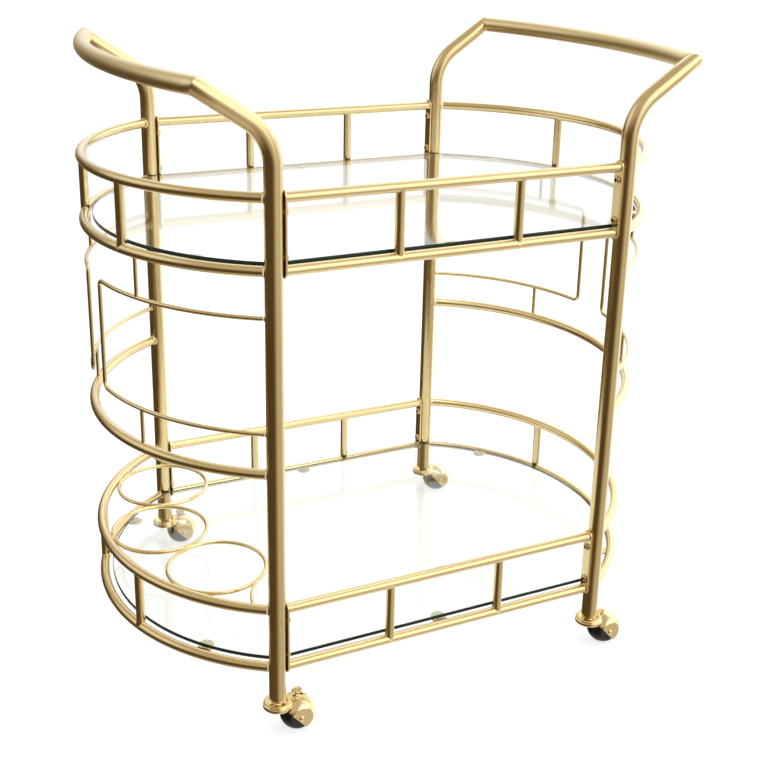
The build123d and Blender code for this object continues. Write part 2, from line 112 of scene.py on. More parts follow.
def gridFaces(rows, columns, wrapRows=False, wrapColumns=True, skip=None):
    # one four-sided face for each cell of a grid; skip is a mask of the cells left out
    i, j = np.meshgrid(
        np.arange(rows if wrapRows else rows - 1),
        np.arange(columns if wrapColumns else columns - 1), indexing="ij")
    if skip is not None:
        keep = ~skip[i, j]
        i, j = i[keep], j[keep]
    i, j = i.ravel(), j.ravel()
    k, l = (i + 1) % rows, (j + 1) % columns
    return np.stack([i * columns + j, i * columns + l, k * columns + l, k * columns + j], 1)


def gridSurface(points, wrapRows=False, wrapColumns=True, caps=True, flip=False, paint=0, skip=None):
    # a grid of points as a surface; caps closes its first and last row with one flat face each
    rows, columns = points.shape[:2]
    quads = gridFaces(rows, columns, wrapRows, wrapColumns, skip)
    lids = []
    if caps and not wrapRows:
        lids = [np.arange(columns)[::-1], (rows - 1) * columns + np.arange(columns)]
    if flip:
        quads = quads[:, ::-1]
        lids = [lid[::-1] for lid in lids]
    return {"points": points.reshape(-1, 3), "quads": quads, "lids": lids, "paint": paint}


def makePiece(name, surfaces, materials, body, nodes=(), sharp=40, weld=False):
    # joins surfaces into one mesh, smooth except at edges sharper than an angle
    points = np.concatenate([part["points"] for part in surfaces])
    offsets = np.cumsum([0] + [len(part["points"]) for part in surfaces])[:-1]
    faces, sizes, paints = [], [], []
    for part, offset in zip(surfaces, offsets):
        faces += [(part["quads"] + offset).ravel()] + [lid + offset for lid in part["lids"]]
        count = len(part["quads"])
        sizes += [np.full(count, 4)] + [np.array([len(lid)]) for lid in part["lids"]]
        paints += [np.full(count + len(part["lids"]), part["paint"])]
    loops, totals, paints = (np.concatenate(group).astype(np.int32) for group in (faces, sizes, paints))
    mesh = bpy.data.meshes.new(name)
    mesh.vertices.add(len(points))
    mesh.vertices.foreach_set("co", points.astype(np.float32).ravel())
    mesh.loops.add(len(loops))
    mesh.loops.foreach_set("vertex_index", loops)
    mesh.polygons.add(len(totals))
    mesh.polygons.foreach_set("loop_start", np.concatenate([[0], np.cumsum(totals)[:-1]]).astype(np.int32))
    mesh.polygons.foreach_set("material_index", paints)
    mesh.update(calc_edges=True)
    mesh.validate()
    if weld:                                    # closes seams and poles whose points coincide
        work = bmesh.new()
        work.from_mesh(mesh)
        bmesh.ops.remove_doubles(work, verts=work.verts, dist=2e-6)
        work.to_mesh(mesh)
        work.free()
    mesh.set_sharp_from_angle(angle=math.radians(sharp))
    edgeCounts = np.empty(len(mesh.polygons), np.int32)
    mesh.polygons.foreach_get("loop_total", edgeCounts)
    mesh.polygons.foreach_set("use_smooth", edgeCounts <= 4)       # lids stay flat
    for material in materials:
        mesh.materials.append(material)
    piece = bpy.data.objects.new(name, mesh)
    bpy.context.scene.collection.objects.link(piece)
    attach(piece, body)
    if nodes:
        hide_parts(*nodes)
    return piece


def tube(path, aside, radius, around=32, wrap=False, cutStart=None, cutEnd=None):
    # a circle carried along a path; aside is square to the path at each point, and a cut is the
    # normal of the plane that the first or last circle is slid into, along the path
    path = np.asarray(path, float)
    if wrap:
        tangent = unit(np.roll(path, -1, 0) - np.roll(path, 1, 0))
    else:
        tangent = unit(np.gradient(path, axis=0))
    aside = unit(np.broadcast_to(aside, path.shape) * 1.0)
    across = np.cross(tangent, aside)
    turn = fullTurn(around)[None, :, None]
    radius = np.broadcast_to(radius, len(path))[:, None, None]
    offset = radius * (np.cos(turn) * aside[:, None] + np.sin(turn) * across[:, None])
    for rows, normal in ((slice(0, 2), cutStart), (slice(-2, None), cutEnd)):
        if normal is not None:
            slide = -(offset[rows] @ normal) / (tangent[rows] @ normal)[:, None]
            offset[rows] += slide[..., None] * tangent[rows][:, None]
    return gridSurface(path[:, None] + offset, wrapRows=wrap, caps=not wrap)


def turned(profile, centre, axis="z", around=64, loop=False, paint=0):
    # a profile of (distance along the axis, radius) turned about that axis; loop joins its two ends
    along, radius = np.asarray(profile, float).T
    turn = fullTurn(around)[None]
    a, b = radius[:, None] * np.cos(turn), radius[:, None] * np.sin(turn)
    c = np.broadcast_to(along[:, None], a.shape)
    points = np.stack([a, b, c] if axis == "z" else [b, c, a] if axis == "y" else [c, a, b], -1)
    return gridSurface(points + np.asarray(centre), wrapRows=loop, caps=not loop, paint=paint)


def plate(outline, thickness, rounding, place, steps=3):
    # an outline pulled through a thickness, its edges rounded by a quarter circle pulled inwards
    outline = np.asarray(outline, float)
    along = unit(np.roll(outline, -1, 0) - np.roll(outline, 1, 0))
    inward = np.stack([-along[:, 1], along[:, 0]], -1)
    bend = np.linspace(0, np.pi / 2, steps + 1)
    inset = rounding * (1 - np.sin(bend))
    height = rounding * (1 - np.cos(bend))
    inset, height = np.concatenate([inset, inset[::-1]]), np.concatenate([height, thickness - height[::-1]])
    flat = outline[None] + inset[:, None, None] * inward[None]
    points = np.concatenate([flat, np.broadcast_to(height[:, None, None], flat.shape[:2] + (1,))], -1)
    return gridSurface(place(points))


def quadCurve(start, middle, stop, share):
    # the curve that leaves start towards middle and comes to stop from it
    return (1 - share) ** 2 * start + 2 * share * (1 - share) * middle + share ** 2 * stop


def weldBead(spot, mainAxis, mainRadius, branch, branchRadius, width, around=32):
    # the fillet where a round branch meets a round bar, or a flat face if mainRadius is None: for each
    # direction round the branch, a curve from the branch's side over to the bar's side, closed inside
    mainAxis, branch = unit(np.asarray(mainAxis, float)), unit(np.asarray(branch, float))
    beside = np.cross(mainAxis, branch)
    turn = fullTurn(around)[:, None]

    def onBar(reach, lift):
        height = 0.0
        if mainRadius is not None:
            height = np.sqrt(np.maximum(mainRadius ** 2 - (reach * np.sin(turn)) ** 2, 0))
        return reach * (np.cos(turn) * mainAxis + np.sin(turn) * beside) + (height + lift) * branch

    sunk = 0.05 * width
    start = onBar(branchRadius - sunk, width)
    middle = onBar(branchRadius + 0.12 * width, 0.12 * width)
    stop = onBar(branchRadius + width, -sunk)
    inside = onBar(branchRadius - width, -width)
    share = np.linspace(0, 1, 6)[None, :, None]
    curve = quadCurve(start[:, None], middle[:, None], stop[:, None], share)
    points = np.concatenate([curve, inside[:, None]], 1) + np.asarray(spot)
    return gridSurface(points, wrapRows=True, wrapColumns=True)


def bead(centre, along, size, around=16, rings=9):
    # a small egg of weld metal, longest in one direction
    along = unit(np.asarray(along, float))
    aside = unit(np.cross(along, up))
    lean = np.cross(along, aside)
    rise = np.linspace(0.06, np.pi - 0.06, rings)[:, None, None]
    turn = fullTurn(around)[None, :, None]
    points = (-size[0] * np.cos(rise) * along
              + np.sin(rise) * (size[1] * np.cos(turn) * aside + size[2] * np.sin(turn) * lean))
    return gridSurface(points + np.asarray(centre))


def onEndArc(y, sign, z=0.0, inset=0.0):
    # a point of an end's arc; the arc's centre lies on the X axis
    angle = np.arcsin(np.asarray(y) / endRadius)
    reach = endRadius - inset
    return np.stack(np.broadcast_arrays(
        sign * (endCentre + reach * np.cos(angle)), reach * np.sin(angle), np.asarray(z) * 1.0), -1)


def awayFromPost(sx, sy, radius):
    # the direction in which an end's rails leave a post, from its axis to where they pass its side
    spot = np.array([sx * postX, sy * postY, 0])
    angle = math.asin(postY / endRadius) - radius / endRadius
    return onEndArc(sy * endRadius * math.sin(angle), sx) - spot


# finishes

def addGroup(name, inputs, outputs):
    group = bpy.data.node_groups.new(name, "ShaderNodeTree")
    for label, kind, value in inputs:
        socket = group.interface.new_socket(name=label, in_out="INPUT", socket_type=kind)
        socket.default_value = value
    for label, kind in outputs:
        group.interface.new_socket(name=label, in_out="OUTPUT", socket_type=kind)
    return group, group.nodes.new("NodeGroupInput"), group.nodes.new("NodeGroupOutput")


def addNode(tree, kind, links=(), **values):
    # a node with its values set by name, and links as (from node, from socket, to socket)
    node = tree.nodes.new(kind)
    for key, value in values.items():
        if key[0].isupper():
            node.inputs[key.replace("_", " ")].default_value = value
        else:
            setattr(node, key, value)
    for source, output, target in links:
        tree.links.new(source.outputs[output], node.inputs[target])
    return node


def makeCoatGroup():
    # sprayed or rolled metal coat: slow colour drift, fine grain and slightly uneven gloss
    group, given, out = addGroup(
        "coatGrain",
        [("Colour", "NodeSocketColor", (1, 1, 1, 1)), ("Shade", "NodeSocketColor", (1, 1, 1, 1)),
         ("Grain", "NodeSocketFloat", 900.0), ("Gloss", "NodeSocketFloat", 0.3),
         ("Spread", "NodeSocketFloat", 0.08)],
        [("Colour", "NodeSocketColor"), ("Roughness", "NodeSocketFloat"), ("Height", "NodeSocketFloat")])
    spot = addNode(group, "ShaderNodeTexCoord")
    fine = addNode(group, "ShaderNodeTexNoise", [(spot, "Object", "Vector"), (given, "Grain", "Scale")],
                   Detail=2.0, Roughness=0.6)
    slow = addNode(group, "ShaderNodeTexNoise", [(spot, "Object", "Vector")], Scale=7.0, Detail=3.0)
    patch = addNode(group, "ShaderNodeTexNoise", [(spot, "Object", "Vector")], Scale=48.0, Detail=4.0)
    blend = addNode(group, "ShaderNodeMapRange", [(slow, "Fac", "Value")], From_Min=0.35, From_Max=0.7)
    colour = addNode(group, "ShaderNodeMix", data_type="RGBA")
    group.links.new(blend.outputs["Result"], colour.inputs[0])
    group.links.new(given.outputs["Colour"], colour.inputs[6])
    group.links.new(given.outputs["Shade"], colour.inputs[7])
    centred = addNode(group, "ShaderNodeMath", [(patch, "Fac", 0)], operation="SUBTRACT")
    centred.inputs[1].default_value = 0.5
    scaled = addNode(group, "ShaderNodeMath", [(centred, "Value", 0), (given, "Spread", 1)],
                     operation="MULTIPLY")
    gloss = addNode(group, "ShaderNodeMath", [(scaled, "Value", 0), (given, "Gloss", 1)], operation="ADD")
    group.links.new(colour.outputs[2], out.inputs["Colour"])
    group.links.new(gloss.outputs["Value"], out.inputs["Roughness"])
    group.links.new(fine.outputs["Fac"], out.inputs["Height"])
    return group


def makeMarksGroup():
    # polished surfaces: hairline scratches in two directions and the dull film that hands leave
    group, given, out = addGroup(
        "handlingMarks",
        [("Gloss", "NodeSocketFloat", 0.08), ("Film", "NodeSocketFloat", 0.1),
         ("Scratch", "NodeSocketFloat", 260.0)],
        [("Roughness", "NodeSocketFloat"), ("Height", "NodeSocketFloat"), ("Mask", "NodeSocketFloat")])
    spot = addNode(group, "ShaderNodeTexCoord")
    film = addNode(group, "ShaderNodeTexNoise", [(spot, "Object", "Vector")],
                   Scale=34.0, Detail=5.0, Roughness=0.62)
    mask = addNode(group, "ShaderNodeMapRange", [(film, "Fac", "Value")], From_Min=0.48, From_Max=0.74)
    lines = []
    for turn in (0.5, 2.2):
        squeeze = addNode(group, "ShaderNodeMapping", [(spot, "Object", "Vector")],
                          Rotation=(turn, turn / 2, turn), Scale=(1.0, 14.0, 1.0))
        lines.append(addNode(group, "ShaderNodeTexNoise",
                             [(squeeze, "Vector", "Vector"), (given, "Scratch", "Scale")], Detail=1.0))
    height = addNode(group, "ShaderNodeMath", [(lines[0], "Fac", 0), (lines[1], "Fac", 1)], operation="ADD")
    added = addNode(group, "ShaderNodeMath", [(mask, "Result", 0), (given, "Film", 1)], operation="MULTIPLY")
    gloss = addNode(group, "ShaderNodeMath", [(added, "Value", 0), (given, "Gloss", 1)], operation="ADD")
    group.links.new(gloss.outputs["Value"], out.inputs["Roughness"])
    group.links.new(height.outputs["Value"], out.inputs["Height"])
    group.links.new(mask.outputs["Result"], out.inputs["Mask"])
    return group


coatGrain = makeCoatGroup()
handlingMarks = makeMarksGroup()


def newMaterial(name):
    material = bpy.data.materials.new(name)
    material.use_nodes = True
    tree = material.node_tree
    return material, tree, tree.nodes["Principled BSDF"]


def addBump(tree, shader, source, strength, distance):
    bump = addNode(tree, "ShaderNodeBump", [(source, "Height", "Height")],
                   Strength=strength, Distance=distance)
    tree.links.new(bump.outputs["Normal"], shader.inputs["Normal"])


def coatedMetal(name, colour, shade, gloss, spread, grain, bumpStrength, lacquer=0.0):
    # a satin metal finish made of the coat group's colour, gloss and grain
    material, tree, shader = newMaterial(name)
    coat = addNode(tree, "ShaderNodeGroup", node_tree=coatGrain)
    for label, value in (("Colour", (*colour, 1)), ("Shade", (*shade, 1)), ("Grain", grain),
                         ("Gloss", gloss), ("Spread", spread)):
        coat.inputs[label].default_value = value
    tree.links.new(coat.outputs["Colour"], shader.inputs["Base Color"])
    tree.links.new(coat.outputs["Roughness"], shader.inputs["Roughness"])
    shader.inputs["Metallic"].default_value = 1.0
    shader.inputs["Coat Weight"].default_value = lacquer
    shader.inputs["Coat Roughness"].default_value = 0.2
    addBump(tree, shader, coat, bumpStrength, 0.0002)
    return material


goldFinish = {"colour": (0.80, 0.635, 0.315), "shade": (0.77, 0.60, 0.29), "gloss": 0.24,
              "spread": 0.05, "grain": 1500.0, "bumpStrength": 0.02, "lacquer": 0.8}
handleFinish = {"colour": (0.86, 0.70, 0.38), "shade": (0.83, 0.665, 0.35), "gloss": 0.38,
                "spread": 0.06, "grain": 1800.0, "bumpStrength": 0.05, "lacquer": 0.5}
boltFinish = {"colour": (0.78, 0.57, 0.28), "shade": (0.72, 0.52, 0.25), "gloss": 0.22,
              "spread": 0.05, "grain": 1500.0, "bumpStrength": 0.02}
steelFinish = {"colour": (0.50, 0.50, 0.50), "shade": (0.40, 0.40, 0.41), "gloss": 0.38,
               "spread": 0.12, "grain": 900.0, "bumpStrength": 0.15}
frameGold = coatedMetal("frameGold", **goldFinish)
handleGold = coatedMetal("handleGold", **handleFinish)
boltGold = coatedMetal("boltGold", **boltFinish)
insertSteel = coatedMetal("insertSteel", **steelFinish)


def polished(name, colour, stain, gloss, film, metallic, bumpStrength):
    # a polished surface whose film of handling dulls it and shifts its colour a little
    material, tree, shader = newMaterial(name)
    marks = addNode(tree, "ShaderNodeGroup", node_tree=handlingMarks)
    marks.inputs["Gloss"].default_value = gloss
    marks.inputs["Film"].default_value = film
    mix = addNode(tree, "ShaderNodeMix", data_type="RGBA")
    mix.inputs[6].default_value = (*colour, 1)
    mix.inputs[7].default_value = (*stain, 1)
    tree.links.new(marks.outputs["Mask"], mix.inputs[0])
    tree.links.new(mix.outputs[2], shader.inputs["Base Color"])
    tree.links.new(marks.outputs["Roughness"], shader.inputs["Roughness"])
    shader.inputs["Metallic"].default_value = metallic
    addBump(tree, shader, marks, bumpStrength, 0.0001)
    return material


brassFinish = {"colour": (0.93, 0.75, 0.42), "stain": (0.88, 0.68, 0.34), "gloss": 0.05,
               "film": 0.05, "metallic": 1.0, "bumpStrength": 0.01}
blackFinish = {"colour": (0.012, 0.012, 0.013), "stain": (0.022, 0.021, 0.020), "gloss": 0.30,
               "film": 0.20, "metallic": 0.0, "bumpStrength": 0.10}
casterBrass = polished("casterBrass", **brassFinish)
wheelBlack = polished("wheelBlack", **blackFinish)
# near-black painted shade for the inside of the bolts' hex sockets, standing in for the shade in those
# recesses
socketBlack = polished("socketBlack", (0.02, 0.015, 0.01), (0.04, 0.03, 0.02), 0.45, 0.2, 0.0, 0.1)


def clearMaterial(name, colour, stain, gloss, film, transmission):
    material = polished(name, colour, stain, gloss, film, 0.0, 0.02)
    shader = material.node_tree.nodes["Principled BSDF"]
    shader.inputs["Transmission Weight"].default_value = transmission
    shader.inputs["IOR"].default_value = 1.5
    return material


shelfGlass = clearMaterial("shelfGlass", (0.925, 0.95, 0.94), (0.91, 0.94, 0.928), 0.0, 0.015, 1.0)
glassEdge = clearMaterial("glassEdge", (0.004, 0.030, 0.019), (0.003, 0.022, 0.014), 0.10, 0.10, 0.10)
clearPad = clearMaterial("clearPad", (0.93, 0.94, 0.92), (0.88, 0.90, 0.88), 0.18, 0.15, 0.75)
print("finishes made")

# posts and handles

post = {"radius": 0.011, "wall": 0.0012, "bendRadius": 0.065, "armAngle": math.radians(34),
        "handleReach": 0.0865, "handleZ": 0.832, "handleBow": 0.042, "footRound": 0.0006,
        "seamDepth": 0.00022, "seamWidth": 0.0006}
armTurn = math.pi / 2 - post["armAngle"]
bendReach = post["bendRadius"] * (1 - math.cos(armTurn))
bendRise = post["bendRadius"] * math.sin(armTurn)
armRise = (post["handleReach"] - bendReach) * math.tan(post["armAngle"])
bendZ = post["handleZ"] - armRise - bendRise
mitreX = postX + post["handleReach"]
bowRadius = (postY ** 2 + post["handleBow"] ** 2) / (2 * post["handleBow"])
bowAngle = math.asin(postY / bowRadius)
bowCentre = mitreX + post["handleBow"] - bowRadius


def mitreNormal(sx, sy):
    arm = np.array([sx * math.cos(post["armAngle"]), 0, math.sin(post["armAngle"])])
    grip = np.array([sx * math.sin(bowAngle), -sy * math.cos(bowAngle), 0])
    return unit(arm + grip)


def goldPiece(name, parts, node, weld=False):
    makePiece(name, parts, [frameGold], "frame", [node], weld=weld)


def makePost(corner, sx, sy):
    # up the post, round the bend and out along the arm to the mitre, with a turned-in foot
    turn = np.linspace(0, armTurn, 25)
    bend = np.stack([bendReachAt(turn), bendZ + post["bendRadius"] * np.sin(turn)], -1)
    arm = np.array([math.cos(post["armAngle"]), math.sin(post["armAngle"])])
    mitre = np.array([post["handleReach"], post["handleZ"]])
    foot = footZ + post["footRound"]
    line = np.concatenate([[[0, footZ], [0, foot], [0, foot + 0.01]], bend,
                           [mitre - 0.03 * arm, mitre - post["seamWidth"] * arm, mitre]])
    radius = np.full(len(line), post["radius"])
    radius[0] -= post["footRound"]
    radius[-1] -= post["seamDepth"]
    path = np.stack([sx * (postX + line[:, 0]), np.full(len(line), sy * postY), line[:, 1]], -1)
    wall = tube(path, (0, 1, 0), radius, around=48, cutEnd=mitreNormal(sx, sy))
    wall["lids"] = wall["lids"][1:]
    # the open foot: in from the rim and up the bore
    inner = post["radius"] - post["wall"]
    bore = turned([(footZ, post["radius"] - post["footRound"]), (footZ, inner), (footZ + 0.02, inner)],
                  (sx * postX, sy * postY, 0), around=48)
    bore["lids"] = bore["lids"][1:]
    goldPiece(corner + "_post_tube", [wall, bore], corner + "_post", weld=True)


def bendReachAt(turn):
    return post["bendRadius"] * (1 - np.cos(turn))


def makeGrip(end, sx):
    # the bowed bar between two mitres
    turn = np.linspace(-bowAngle, bowAngle, 41)
    seam = post["seamWidth"] / bowRadius
    turn = np.sort(np.append(turn, [-bowAngle + seam, bowAngle - seam]))
    path = np.stack([sx * (bowCentre + bowRadius * np.cos(turn)), bowRadius * np.sin(turn),
                     np.full(len(turn), post["handleZ"])], -1)
    radius = np.full(len(turn), post["radius"])
    radius[[0, -1]] -= post["seamDepth"]
    bar = tube(path, (0, 0, 1), radius, around=48, cutStart=mitreNormal(sx, -1), cutEnd=mitreNormal(sx, 1))
    makePiece(end + "_grip_bar", [bar], [handleGold], "frame", [end + "_handle_grip"])


for corner, sx, sy in corners:
    makePost(corner, sx, sy)
for end, sx in ends.items():
    makeGrip(end, sx)
print("posts and handles made")

# rails, spindles and wires of the ends

railWork = {"postWeld": 0.0016, "spindleRadius": 0.006, "spindleWeld": 0.0009,
            "endSpindleY": 0.098, "sideSpindleX": 0.082}


def arcPath(sign, z, fromY, toY, count):
    angles = np.linspace(math.asin(fromY / endRadius), math.asin(toY / endRadius), count)
    return onEndArc(endRadius * np.sin(angles), sign, z)


def barDirection(y, sign):
    # along an end's arc at y, towards +Y
    angle = math.asin(y / endRadius)
    return np.array([-sign * math.sin(angle), math.cos(angle), 0])


for end, sx in ends.items():
    inPost = postY - 0.6 * post["radius"]
    for level in levels:
        parts = [tube(arcPath(sx, railZ[level], -inPost, inPost, 97), (0, 0, 1), railRadius, around=36)]
        for sy in sides.values():
            parts.append(weldBead((sx * postX, sy * postY, railZ[level]), up, post["radius"],
                                  awayFromPost(sx, sy, post["radius"]), railRadius, railWork["postWeld"]))
        name = end + "_" + level + "_rail"
        goldPiece(name + "_tube", parts, name)
    parts = []
    for shelf, guard in tiers.values():
        for y in (-railWork["endSpindleY"], railWork["endSpindleY"]):
            foot, head = onEndArc(y, sx, shelf), onEndArc(y, sx, guard)
            parts.append(tube([foot, foot + 0.02 * up, head], (1, 0, 0), railWork["spindleRadius"]))
            for spot, way in ((foot, up), (head, -up)):
                parts.append(weldBead(spot, barDirection(y, sx), railRadius, way,
                                      railWork["spindleRadius"], railWork["spindleWeld"]))
    goldPiece(end + "_spindle_tubes", parts, end + "_end_spindles")

wire = {"radius": 0.00275, "stubRadius": 0.0025, "lowZ": 0.4175, "highZ": 0.5625, "closedY": 0.032,
        "stubY": 0.121, "corner": 0.009, "weld": 0.0012}


def makeWireLoop(end, sx, side, sy):
    # along the arc at the lower height, up at the closed end with two rounded corners, and back
    turnY = wire["closedY"] + wire["corner"]
    low, high, bend = wire["lowZ"], wire["highZ"], wire["corner"]
    inPost = postY - 0.6 * post["radius"]
    lower = arcPath(sx, low, sy * inPost, sy * turnY, 49)
    upper = arcPath(sx, high, sy * turnY, sy * inPost, 49)
    ahead = -sy * barDirection(sy * turnY, sx)
    turn = np.linspace(0, np.pi / 2, 9)[1:, None]
    corner1 = lower[-1] + bend * np.sin(turn) * ahead + bend * (1 - np.cos(turn)) * up
    corner2 = upper[0] + bend * np.cos(turn) * ahead - bend * (1 - np.sin(turn)) * up
    path = np.concatenate([lower, corner1, corner2[:-1], upper])
    aside = path * [1, 1, 0] - [sx * endCentre, 0, 0]
    parts = [tube(path, aside, wire["radius"], around=20)]
    for z in (low, high):
        parts.append(weldBead((sx * postX, sy * postY, z), up, post["radius"],
                              awayFromPost(sx, sy, post["radius"]), wire["radius"], wire["weld"], around=20))
    for start, stop in ((railZ["middle"], low), (high, railZ["top_shelf"])):
        foot, head = onEndArc(sy * wire["stubY"], sx, start), onEndArc(sy * wire["stubY"], sx, stop)
        parts.append(tube([foot, foot + 0.01 * up, head], (1, 0, 0), wire["stubRadius"], around=20))
        for spot, way in ((foot, up), (head, -up)):
            onRail = (spot is foot) == (start == railZ["middle"])
            parts.append(weldBead(spot, barDirection(sy * wire["stubY"], sx),
                                  railRadius if onRail else wire["radius"], way,
                                  wire["stubRadius"] if onRail else 0.85 * wire["stubRadius"],
                                  wire["weld"] if onRail else 0.5 * wire["weld"], around=20))
    name = end + "_" + side + "_wire_loop"
    goldPiece(name + "_rod", parts, name)


for end, sx in ends.items():
    for side, sy in sides.items():
        makeWireLoop(end, sx, side, sy)
print("ends made")

# bolted side panels

bracket = {"thickness": 0.0025, "width": 0.016, "overhang": 0.009, "rounding": 0.0004, "boltInset": 0.0165}
bolt = {"headRadius": 0.00525, "headHeight": 0.0034, "socket": 0.0045, "socketDepth": 0.0024,
        "shankRadius": 0.003, "shankLength": 0.0078}

for side, sy in sides.items():
    for tier, heights in tiers.items():
        for level, z in zip(("shelf", "guard"), heights):
            start, stop = np.array([-panelEnd, sy * postY, z]), np.array([panelEnd, sy * postY, z])
            parts = [tube([start, start * [0.5, 1, 1], stop], (0, 0, 1), railRadius, around=36)]
            for spot in (start, stop):
                way = (-np.sign(spot[0]), 0, 0)
                parts.append(weldBead(spot, up, None, way, railRadius, railWork["spindleWeld"]))
            name = side + "_" + tier + "_" + level + "_rail"
            goldPiece(name + "_tube", parts, name)

spindleParts = []
for sy in sides.values():
    for shelf, guard in tiers.values():
        for x in (-railWork["sideSpindleX"], railWork["sideSpindleX"]):
            foot, head = np.array([x, sy * postY, shelf]), np.array([x, sy * postY, guard])
            spindleParts.append(tube([foot, foot + 0.02 * up, head], (1, 0, 0), railWork["spindleRadius"]))
            for spot, way in ((foot, up), (head, -up)):
                spindleParts.append(weldBead(spot, (1, 0, 0), railRadius, way,
                                             railWork["spindleRadius"], railWork["spindleWeld"]))
goldPiece("panel_spindle_tubes", spindleParts, "panel_spindles")


def stadium(width, length, count=24):
    # two half circles joined by straight sides, anticlockwise, long in the second direction
    turn = np.linspace(0, np.pi, count)
    half = (length - width) / 2
    top = np.stack([width / 2 * np.cos(turn), half + width / 2 * np.sin(turn)], -1)
    return np.concatenate([top, -top])


def makeBolt(seat, way):
    # a domed head with a six-sided socket, then its shank; way points from the head to the shank
    turn = fullTurn(48)
    height, rim = bolt["headHeight"], bolt["headRadius"]
    lean = np.linspace(0, 0.42 * np.pi, 9)
    dome = [(0.0, rim * 0.99), (-0.12 * height, rim)]
    dome += [(-height * (0.12 + 0.88 * math.sin(a) / math.sin(lean[-1])),
              0.36 * rim + 0.64 * rim * math.cos(a)) for a in lean[1:]]
    mouth = 0.5 * bolt["socket"] / np.cos((turn + np.pi / 6) % (np.pi / 3) - np.pi / 6)
    rows = [(h, np.full(48, r)) for h, r in dome]
    rows += [(-height, mouth + 0.0002), (-height + 0.0002, mouth), (-height + bolt["socketDepth"], mouth)]
    along = np.array([h for h, _ in rows])[:, None] * np.ones(48)
    radius = np.array([r for _, r in rows])
    points = np.stack([along * way, radius * np.cos(turn), radius * np.sin(turn)], -1) + seat
    head = gridSurface(points, caps=True, flip=way < 0)
    socketRows = len(rows) - 2
    inside = np.arange(len(head["quads"])) >= socketRows * 48
    # the socket's walls and floor take the second material, the near-black painted shade of the recess
    socketShade = {"points": head["points"], "quads": head["quads"][inside], "lids": [head["lids"][1]], "paint": 1}
    head["quads"], head["lids"] = head["quads"][~inside], [head["lids"][0]]
    ridge = np.linspace(0, 1, 15)[:, None]
    shankLine = seat + ridge * [way * bolt["shankLength"], 0, 0]
    thread = bolt["shankRadius"] - 0.00018 * (np.arange(15) % 2)
    return [head, socketShade, tube(shankLine, (0, 0, 1), thread, around=24)]


plates, bolts = [], []
for sx in ends.values():
    for sy in sides.values():
        for shelf, guard in tiers.values():
            outline = stadium(bracket["width"], guard - shelf + 2 * bracket["overhang"])
            middle = (shelf + guard) / 2

            def place(points, sx=sx, sy=sy, middle=middle):
                x = sx * (panelEnd + points[..., 2])
                y = sy * postY + sx * points[..., 0]
                return np.stack([x, y, middle + points[..., 1]], -1)

            plates.append(plate(outline, bracket["thickness"], bracket["rounding"], place))
            for z in (shelf + bracket["boltInset"], guard - bracket["boltInset"]):
                bolts += makeBolt(np.array([sx * panelEnd, sy * postY, z]), sx)
goldPiece("bracket_plates", plates, "panel_brackets")
# the bolt heads are gold, and their sockets get the painted shade material
makePiece("bracket_bolts", bolts, [boltGold, socketBlack], "frame", ["panel_bolts"])
print("side panels made")

# glass shelves, their lugs and pads

glass = {"gap": 0.0045, "postGap": 0.002, "leastCorner": 0.025, "edge": 0.0009}
lug = {"width": 0.020, "length": 0.027, "thickness": 0.002, "top": 0.0016, "endY": 0.190,
       "neck": 0.84, "rounding": 0.0005, "dishDepth": 0.0007}
pad = {"radius": 0.006, "height": 0.0014, "stem": 0.002}


def glassOutline():
    # two straight edges and two arcs, with a rounded corner wherever they meet, anticlockwise
    halfY = postY - railRadius - glass["gap"]
    radius = endRadius - railRadius - glass["gap"]
    cornerX = endCentre + math.sqrt(radius ** 2 - halfY ** 2)
    turn = math.pi / 2 - math.atan2(halfY, cornerX - endCentre)
    room = math.hypot(postX - cornerX, postY - halfY)
    least = (post["radius"] + glass["postGap"] - room) / (1 / math.cos(turn / 2) - 1)
    rounding = max(glass["leastCorner"], least)
    x = endCentre + math.sqrt((radius - rounding) ** 2 - (halfY - rounding) ** 2)
    y = halfY - rounding
    start = math.atan2(y, x - endCentre)
    big = np.linspace(-start, start, 97)
    small = np.linspace(start, math.pi / 2, 17)[1:]
    arc = np.stack([endCentre + radius * np.cos(big), radius * np.sin(big)], -1)
    corner = np.stack([x + rounding * np.cos(small), y + rounding * np.sin(small)], -1)
    half = np.concatenate([(corner * [1, -1])[::-1], arc, corner])
    return np.concatenate([half, -half])


def makeGlass(tier):
    low, high = boxOf(tier + "_glass_shelf")

    def place(points):
        return points + [0, 0, low[2]]

    sheet = plate(glassOutline(), high[2] - low[2], glass["edge"], place, steps=4)
    rim = {"points": sheet["points"], "quads": sheet["quads"], "lids": [], "paint": 1}
    faces = {"points": sheet["points"], "quads": sheet["quads"][:0], "lids": sheet["lids"], "paint": 0}
    piece = makePiece(tier + "_glass_sheet", [rim, faces], [shelfGlass, glassEdge], "frame",
                      [tier + "_glass_shelf"], sharp=30, weld=True)
    piece.visible_shadow = False


def lugOutline():
    # a tongue with a narrow neck at its root and a round end, pointing along the first direction
    reach = lug["length"] - lug["width"] / 2
    along = np.linspace(railRadius * 0.5, reach, 20)
    share = np.clip((along - railRadius) / (reach - railRadius), 0, 1)
    swell = np.sin(np.pi / 2 * np.clip(share * 2.2, 0, 1)) ** 2
    half = lug["width"] / 2 * (lug["neck"] + (1 - lug["neck"]) * swell)
    turn = np.linspace(-np.pi / 2, np.pi / 2, 25)[1:-1]
    tip = np.stack([reach + lug["width"] / 2 * np.cos(turn), lug["width"] / 2 * np.sin(turn)], -1)
    return np.concatenate([np.stack([along, -half], -1), tip, np.stack([along, half], -1)[::-1]])


def lugSpots(shelf):
    # where each lug starts on its rail's centre, and which way it points
    spots = [(np.array([0, sy * postY, shelf]), np.array([0.0, -sy, 0])) for sy in sides.values()]
    for sx in ends.values():
        for sy in sides.values():
            spot = onEndArc(sy * lug["endY"], sx, shelf)
            spots.append((spot, unit(np.array([sx * endCentre - spot[0], -spot[1], 0]))))
    return spots


